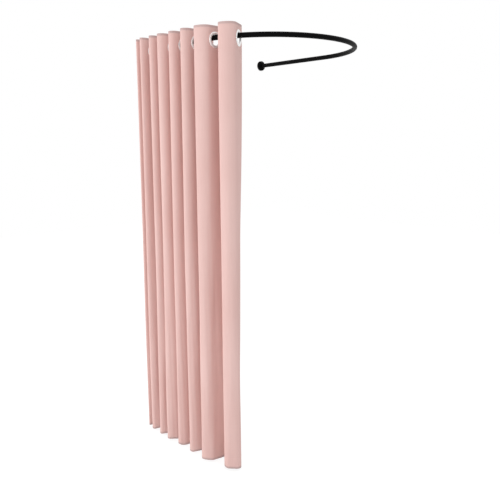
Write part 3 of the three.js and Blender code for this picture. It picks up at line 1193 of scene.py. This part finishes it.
# %% The hang of the cloth
SEED = 7
SWAY, SWAY_WAVES = 2.1 * MM, ((0.16, 0.5), (1.1, 3.2))
SWAY_AT_HEADING = 0.4
FLUTE, FLUTE_WAVES = 2.2 * MM, ((0.07, 0.13), (1.4, 4.0))
CREASE, CREASE_WAVES = 0.55 * MM, ((0.018, 0.05), (0.35, 1.3))
PUCKER, PUCKER_WAVES = 0.28 * MM, ((0.008, 0.016), (0.3, 0.9))
HEM_WAVE, HEM_WAVES = 3.2 * MM, ((0.12, 0.4), (1.0, 2.0))
PUCKER_REACH = 9 * MM
HEM_RISE_POWER = 4
ROOMY_GAP = 60 * MM
TIGHT_SHARE = 0.35
SETTLE_LENGTH = 1.9
WAVE_COUNT = 7
chance = np.random.default_rng(SEED)


def step_up(value, low, high):
    """0 below low, 1 above high and a smooth step between them."""
    share = np.clip((value - low) / (high - low), 0, 1)
    return share * share * (3 - 2 * share)


def waves(width, height, sizes):
    """A smooth field with waves of about these widths and heights, about 1 high."""
    total = np.zeros(np.broadcast_shapes(width.shape, height.shape))
    wide, tall = sizes
    for _ in range(WAVE_COUNT):
        across_rate = 2 * math.pi / chance.uniform(*wide)
        down_rate = 2 * math.pi / chance.uniform(*tall) * chance.choice([-1, 1])
        phase = chance.uniform(0, 2 * math.pi)
        total = total + np.sin(width * across_rate + height * down_rate + phase)
    return total / math.sqrt(WAVE_COUNT)


def room_between():
    """How freely each column can wave: 1 where the eyelets stand well apart."""
    places = cloth_reach[eyelet_columns[:-1]] + CLOTH_BETWEEN_EYELETS / 2
    gaps = [np.linalg.norm(b.middle - a.middle) for a, b in zip(eyelets, eyelets[1:])]
    room = np.interp(cloth_reach, places, gaps) / ROOMY_GAP
    return np.clip(room, TIGHT_SHARE, 1)[None, :]


def wave_offsets(reach, height, settle, low):
    """How far each point of the cloth stands out from its line."""
    room = room_between()
    more = SWAY_AT_HEADING + (1 - SWAY_AT_HEADING) * low
    sway = waves(reach, height, SWAY_WAVES) * SWAY * settle * more * room
    flute = waves(reach, height, FLUTE_WAVES) * FLUTE * low * room
    crease = waves(reach, height, CREASE_WAVES) * CREASE * settle
    heights = (heading_seam, hem_seam)
    seams = sum(np.exp(-np.abs(height - seam) / PUCKER_REACH) for seam in heights)
    pucker = waves(reach, height, PUCKER_WAVES) * PUCKER * seams
    return sway + flute + crease + pucker


def hung_cloth():
    """The middle of the cloth, a point for each row and column, and the outward normals."""
    reach, height = cloth_reach[None, :], rows[:, None]
    below = heading_end - height
    settle = step_up(below, 0, SETTLE_LENGTH)
    low = step_up(below, 0, heading_end - cloth_bottom)
    share = (settle * RELAXED_SHARE)[..., None]
    plan = stiff_line[None] + (loose_line - stiff_line)[None] * share
    offset = wave_offsets(reach, height, settle, low)
    along = np.gradient(plan, axis=1)
    along /= np.linalg.norm(along, axis=2, keepdims=True)
    outward = np.stack([-along[..., 1], along[..., 0]], axis=2)
    plan = plan + outward * offset[..., None]
    lift = waves(cloth_reach, np.zeros(1), HEM_WAVES) * HEM_WAVE
    raised = np.abs(lift)[None, :] * low ** HEM_RISE_POWER
    points = np.concatenate([plan, (height + raised)[..., None]], axis=2)
    normals = np.cross(np.gradient(points, axis=1), np.gradient(points, axis=0))
    normals /= np.linalg.norm(normals, axis=2, keepdims=True)
    return points, normals


cloth_points, cloth_normals = hung_cloth()
print("cloth grid:", cloth_points.shape[0], "rows by", cloth_points.shape[1], "columns")

# %% [markdown]
# ## Layers of cloth
#
# The cloth is one layer, and two layers at the heading, the bottom hem and the side
# hems, where its edge is folded to the back and sewn. The outer layer runs through, so
# only the inner face steps back at a hem, as it does on sewn cloth.

# %% Layers of cloth
OUTER_LAYER = CLOTH_THICKNESS / 2
SECOND_LAYER = CLOTH_THICKNESS / 2


def inner_depth():
    """How far the cloth reaches behind its middle: a whole layer where it is folded double."""
    reach, height = cloth_reach[None, :], rows[:, None]
    edge = np.minimum(reach, cloth_width - reach)
    doubled = (height >= heading_end - HAIR) | (height <= hem_end + HAIR)
    return np.where(doubled | (edge <= SIDE_HEM_WIDTH), SECOND_LAYER, 0.0)


cloth_inner = inner_depth()
print(f"folded double: {(cloth_inner > 0).mean():.0%} of the grid")

# %% [markdown]
# ## Eyelet holes
#
# Every eyelet needs a round hole, a little wider than its barrel. Quads that reach into
# the hole are left out, and the corners that then stand on its edge are pulled onto the
# circle. A pulled corner reads its new place from the cloth's own grid, so it stays on
# the cloth.

# %% Eyelet holes
HOLE_RADIUS = EYELET_BORE + BARREL_WALL + SEAT_GAP
QUAD_CORNERS = (np.s_[:-1, :-1], np.s_[1:, :-1], np.s_[:-1, 1:], np.s_[1:, 1:])


def hole_cells(first, last):
    """Which quads are kept in a run of columns, and where the corners at a hole move."""
    keep = np.ones((len(rows) - 1, last - first), bool)
    moves = {}
    for eyelet, column in zip(eyelets, eyelet_columns):
        if not first < column < last:
            continue
        reach = cloth_reach[first:last + 1] - cloth_reach[column]
        drop = rows - eyelet.height
        away = np.hypot(reach[None, :], drop[:, None])
        inside = away < HOLE_RADIUS - COLUMN_STEP / 2
        touched = np.any([inside[corner] for corner in QUAD_CORNERS], axis=0)
        keep &= ~touched
        around = np.zeros_like(inside)
        for corner in QUAD_CORNERS:
            around[corner] |= touched
        for row, place in zip(*np.nonzero(around & ~inside)):
            pull = HOLE_RADIUS / away[row, place]
            along = cloth_reach[column] + reach[place] * pull
            moves[row, place] = (along, eyelet.height + drop[row] * pull)
    return keep, moves


def cell_values(grid, row, column):
    """The grid's value between its rows and columns, at fractional places."""
    top, left = np.floor(row).astype(int), np.floor(column).astype(int)
    top, left = np.clip(top, 0, grid.shape[0] - 2), np.clip(left, 0, grid.shape[1] - 2)
    down, over = (row - top)[:, None], (column - left)[:, None]
    upper = grid[top, left] * (1 - over) + grid[top, left + 1] * over
    lower = grid[top + 1, left] * (1 - over) + grid[top + 1, left + 1] * over
    return upper * (1 - down) + lower * down


def cloth_grid(first, last, moves):
    """Point by point: the cloth's middle, its normal, its inner depth and its flat place."""
    run = slice(first, last + 1)
    middle, normal = cloth_points[:, run].copy(), cloth_normals[:, run].copy()
    flat = np.dstack(np.broadcast_arrays(cloth_reach[None, run], rows[:, None]))
    if moves:
        spots, targets = tuple(np.array(list(moves)).T), np.array(list(moves.values()))
        row = np.interp(-targets[:, 1], -rows, np.arange(len(rows)))
        column = np.interp(targets[:, 0], cloth_reach, np.arange(len(cloth_reach)))
        middle[spots] = cell_values(cloth_points, row, column)
        normal[spots] = cell_values(cloth_normals, row, column)
        flat[spots] = targets
    depth = cloth_inner[:, run].reshape(-1, 1)
    return middle.reshape(-1, 3), normal.reshape(-1, 3), depth, flat.reshape(-1, 2)


print(f"eyelet holes: {2 * HOLE_RADIUS / MM:.0f} mm across")

# %% [markdown]
# ## Cloth with a thickness
#
# A piece takes a run of columns. Its outer and inner faces are joined by a rounded rim
# at real edges, and by a plain strip where it meets the next piece. Each corner of the
# rounded rim has a chain of four points, from the outer face round to the inner one.
# Its UV map holds the flat cloth, in metres, for the weave.

# %% Cloth with a thickness
RIM_ANGLES = (math.pi / 3, 2 * math.pi / 3)


def rim_edges(quads):
    """The edges that belong to one quad only, in that quad's own direction."""
    edges = np.vstack([np.roll(quads, -step, axis=1)[:, :2] for step in range(4)])
    known = set(map(tuple, edges))
    return [(a, b) for a, b in edges if (b, a) not in known]


def ways_out(edges, middle, normal):
    """For each corner on the edges, the direction that leaves the cloth there."""
    ways = {}
    for a, b in edges:
        away = unit(np.cross(middle[b] - middle[a], normal[a]))
        for corner in (a, b):
            ways[corner] = ways.get(corner, 0) + away
    return {corner: unit(away) for corner, away in ways.items()}


def rounded(ways, outer, inner):
    """The points that round the rim, two for each corner of it."""
    corners, away = list(ways), np.array(list(ways.values()))
    centre, half = (outer + inner)[corners] / 2, (outer - inner)[corners] / 2
    reach = away * np.linalg.norm(half, axis=1, keepdims=True)
    spots = [centre + half * math.cos(angle) + reach * math.sin(angle) for angle in RIM_ANGLES]
    return np.stack(spots, axis=1).reshape(-1, 3)


def side_faces(edges, seams, chains, shift):
    """The faces that join the outer face to the inner one, and close the ends of seams."""
    faces = [(b, a, a + shift, b + shift) for a, b in seams]
    for a, b in edges:
        one, two = chains[a], chains[b]
        faces += [(two[i], one[i], one[i + 1], two[i + 1]) for i in range(len(one) - 1)]
    leave, arrive = ({edge[end] for edge in seams} for end in (0, 1))
    faces += [chains[corner] for corner in sorted(leave - arrive) if corner in chains]
    faces += [chains[corner][::-1] for corner in sorted(arrive - leave) if corner in chains]
    return faces


def thick_cloth(name, first, last):
    """A closed mesh of the cloth from one column to another."""
    keep, moves = hole_cells(first, last)
    middle, normal, depth, flat = cloth_grid(first, last, moves)
    outer, inner = middle + normal * OUTER_LAYER, middle - normal * depth
    columns, shift = last - first + 1, len(middle)
    row, column = np.nonzero(keep)
    corner = row * columns + column
    quads = np.column_stack([corner, corner + 1, corner + columns + 1, corner + columns])
    ends = ((0, first), (columns - 1, last))
    joins = [place for place, column in ends if 0 < column < len(cloth_reach) - 1]
    edges, seams = [], []
    for a, b in rim_edges(quads):
        is_seam = a % columns == b % columns and a % columns in joins
        (seams if is_seam else edges).append((a, b))
    ways = ways_out(edges, middle, normal)
    chains = {
        corner: (corner, 2 * (shift + place), 2 * (shift + place) + 1, corner + shift)
        for place, corner in enumerate(ways)
    }
    points = np.vstack([outer, inner, rounded(ways, outer, inner)])
    faces = [*map(tuple, quads), *map(tuple, quads[:, ::-1] + shift)]
    faces += side_faces(edges, seams, chains, shift)
    mesh = mesh_of(name, points, faces=faces)
    lay_uv(mesh, np.vstack([flat, flat, np.repeat(flat[list(ways)], 2, axis=0)]))
    return drop_loose(add_object(name, mesh))


def lay_uv(mesh, flat_points):
    """Gives the mesh its UV map: metres along the cloth and metres of height."""
    corners = np.zeros(len(mesh.loops), np.int32)
    mesh.loops.foreach_get("vertex_index", corners)
    layer = mesh.uv_layers.new(name=CLOTH_UV)
    layer.data.foreach_set("uv", flat_points[corners].astype(np.float32).ravel())


def drop_loose(piece):
    """Deletes the vertices that no face uses, such as those inside the eyelet holes."""
    def change(work):
        loose = [corner for corner in work.verts if not corner.link_faces]
        bmesh.ops.delete(work, geom=loose, context="VERTS")
    return reworked(piece, change)


# %% [markdown]
# ## Cut the curtain into its folds
#
# Each fold moves with its own body, so the cloth is cut where two folds meet: at the
# inner ends of the flat stretches, in the valley. A fold's own piece rides on its body.
# The valley between two folds is a piece of its own.

# %% Cut the curtain into its folds
SEAM_COLUMNS = round(HALF_FLAT / COLUMN_STEP)


def fold_columns(fold):
    """The first and last column of a fold's own piece."""
    first = eyelet_columns[2 * fold] - SEAM_COLUMNS if fold > 0 else 0
    if fold == fold_count - 1:
        return first, len(cloth_reach) - 1
    return first, eyelet_columns[2 * fold + 1] + SEAM_COLUMNS


spans = [fold_columns(fold) for fold in range(fold_count)]
print("columns of each fold:", spans)

# %% [markdown]
# ## Stitches
#
# Hems are sewn with small straight stitches, a deeper pink than the cloth. They repeat
# along a line, so Geometry Nodes make them: the tree spaces points along the seam,
# sets a small rounded stitch on each, and turns it to run with the seam. A seeded
# wobble keeps the row from looking printed.

# %% Stitches
STITCH_PITCH = 4.4 * MM
STITCH_LENGTH = 3.3 * MM
THREAD_RADIUS = 0.3 * MM
STITCH_WOBBLE = 0.12 * MM
STITCH_SINK = 0.12 * MM
BEAD_SEGMENTS, BEAD_RINGS = 6, 4


def stitch_tree():
    lengths = ("Pitch", "Stitch Length", "Thread Radius", "Wobble")
    tree, wires = new_tree("sewn_seam", {
        **dict.fromkeys(lengths, "Float"), "Seed": "Int", "Material": "Material",
    })
    seam = wires["Geometry"].make("GeometryNodeMeshToCurve", {0: wires["Geometry"]})
    values = {"Curve": seam, "Length": wires["Pitch"]}
    spots = seam.make("GeometryNodeCurveToPoints", values, mode="LENGTH")
    tangent = spots.beside("Tangent")
    run = tangent.make("FunctionNodeAlignRotationToVector", {"Vector": tangent}, axis="Z")
    values = {"Min": (-1.0, -1.0, -1.0), "Max": (1.0, 1.0, 1.0), "Seed": wires["Seed"]}
    jitter = spots.make("FunctionNodeRandomValue", values, data_type="FLOAT_VECTOR")
    values = {0: jitter, "Scale": wires["Wobble"]}
    shift = jitter.make("ShaderNodeVectorMath", values, operation="SCALE")
    moved = spots.make("GeometryNodeSetPosition", {"Geometry": spots, "Offset": shift})
    values = {"Segments": BEAD_SEGMENTS, "Rings": BEAD_RINGS, "Radius": 1.0}
    bead = spots.make("GeometryNodeMeshUVSphere", values)
    radius, half_length = wires["Thread Radius"], wires["Stitch Length"] * 0.5
    size = spots.make("ShaderNodeCombineXYZ", {"X": radius, "Y": radius, "Z": half_length})
    values = {"Points": moved, "Instance": bead, "Rotation": run, "Scale": size}
    sewn = spots.make("GeometryNodeInstanceOnPoints", values)
    soft = sewn.make("GeometryNodeSetShadeSmooth", {"Geometry": sewn})
    end_tree(tree, soft, wires["Material"])
    return tree


def seam_lines(first, last):
    """The lines of stitches on a run of columns, on both faces of the cloth."""
    outer = cloth_points + cloth_normals * (OUTER_LAYER - STITCH_SINK)
    inner = cloth_points - cloth_normals * (SECOND_LAYER - STITCH_SINK)
    side_column = round((SIDE_HEM_WIDTH - SEAM_INSET) / COLUMN_STEP)
    sides = [column for column in (side_column, len(cloth_reach) - 1 - side_column)
             if first < column < last]
    lines = []
    for face in (outer, inner):
        for seam in (heading_seam, hem_seam):
            lines.append(face[np.argmin(np.abs(rows - seam)), first:last + 1])
        for column in sides:
            lines.append(face[:, column])
    return lines


stitching = stitch_tree()
print(f"stitches: one each {STITCH_PITCH / MM:.1f} mm of seam")


def add_stitches(name, first, last):
    stitches = grow(name, stitching, line_mesh(name, seam_lines(first, last)), {
        "Pitch": STITCH_PITCH, "Stitch Length": STITCH_LENGTH, "Thread Radius": THREAD_RADIUS,
        "Wobble": STITCH_WOBBLE, "Seed": first, "Material": finishes["thread"],
    })
    return stitches


# %% [markdown]
# ## Hang the curtain
#
# A real curtain is threaded fold by fold onto the open tube. Here the folds come first,
# each tied to its own body, and its stitches with it. Then the valleys are laid in
# between, with their stitches, and are tied to no body.

# %% Hang the curtain
CLOTH_SMOOTH_ANGLE = 50


def add_cloth(name, first, last):
    """One piece of the curtain and its stitches, not yet tied to a body."""
    cloth = thick_cloth(f"{name}_cloth", first, last)
    smooth(painted(cloth, "cloth"), CLOTH_SMOOTH_ANGLE)
    return cloth, add_stitches(f"{name}_stitches", first, last)


def hang_folds():
    for fold, (first, last) in enumerate(spans):
        body = f"fold_{fold + 1}"
        cloth, stitches = add_cloth(body, first, last)
        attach(cloth, body)
        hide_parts(f"curtain_fold_{fold + 1}")
        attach(stitches, body)


def lay_valleys():
    for fold, ((_, first), (last, _)) in enumerate(zip(spans, spans[1:])):
        cloth, stitches = add_cloth(f"valley_{fold + 1}_{fold + 2}", first, last)
        for piece in (cloth, stitches):
            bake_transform(piece)


hang_folds()
lay_valleys()
